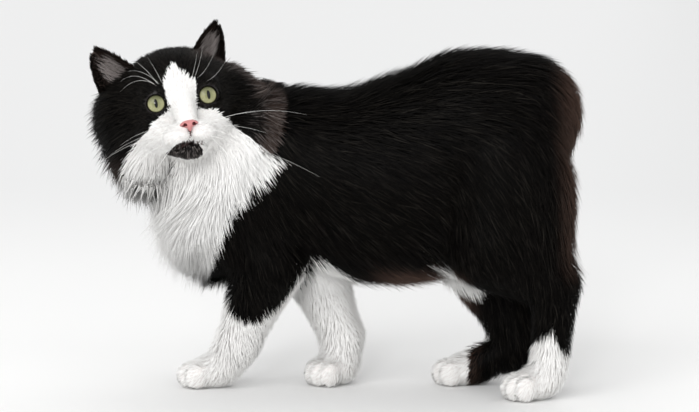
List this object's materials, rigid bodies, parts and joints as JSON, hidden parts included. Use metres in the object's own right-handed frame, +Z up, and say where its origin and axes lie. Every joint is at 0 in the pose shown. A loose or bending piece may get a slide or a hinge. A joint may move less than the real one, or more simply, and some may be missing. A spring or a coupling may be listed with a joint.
{
  "type": "animal figure",
  "caption": "Life-size standing Manx cat, long-coated and tailless, black with white bib, blaze, muzzle and feet, its head turned to its left.",
  "frame": {"origin": "centre of the bounding box in X and Y, on the floor that the soles stand on", "axes": "+Z up; the cat walks towards -X, so +X runs along its longest side from chest to rump, and its left side is towards -Y"},
  "size_m": [0.4185, 0.1857, 0.3162],
  "materials": {
    "coat_black": "long soft fur",
    "coat_white": "long soft fur",
    "nose_leather": "bare, slightly moist skin",
    "eye": "clear glossy cornea over a yellow-green iris"
  },
  "bodies": {
    "root": {"head": "coat_black", "neck": "coat_white", "torso": "coat_black", "foreleg_left": "coat_black", "foreleg_right": "coat_white", "hindleg_left": "coat_black", "hindleg_right": "coat_black", "forepaw_left": "coat_white", "forepaw_right": "coat_white", "hindpaw_left": "coat_white", "hindpaw_right": "coat_white", "ear_left": "coat_black", "ear_right": "coat_black", "eye_left": "eye", "eye_right": "eye", "nose": "nose_leather"}
  },
  "joints": []
}
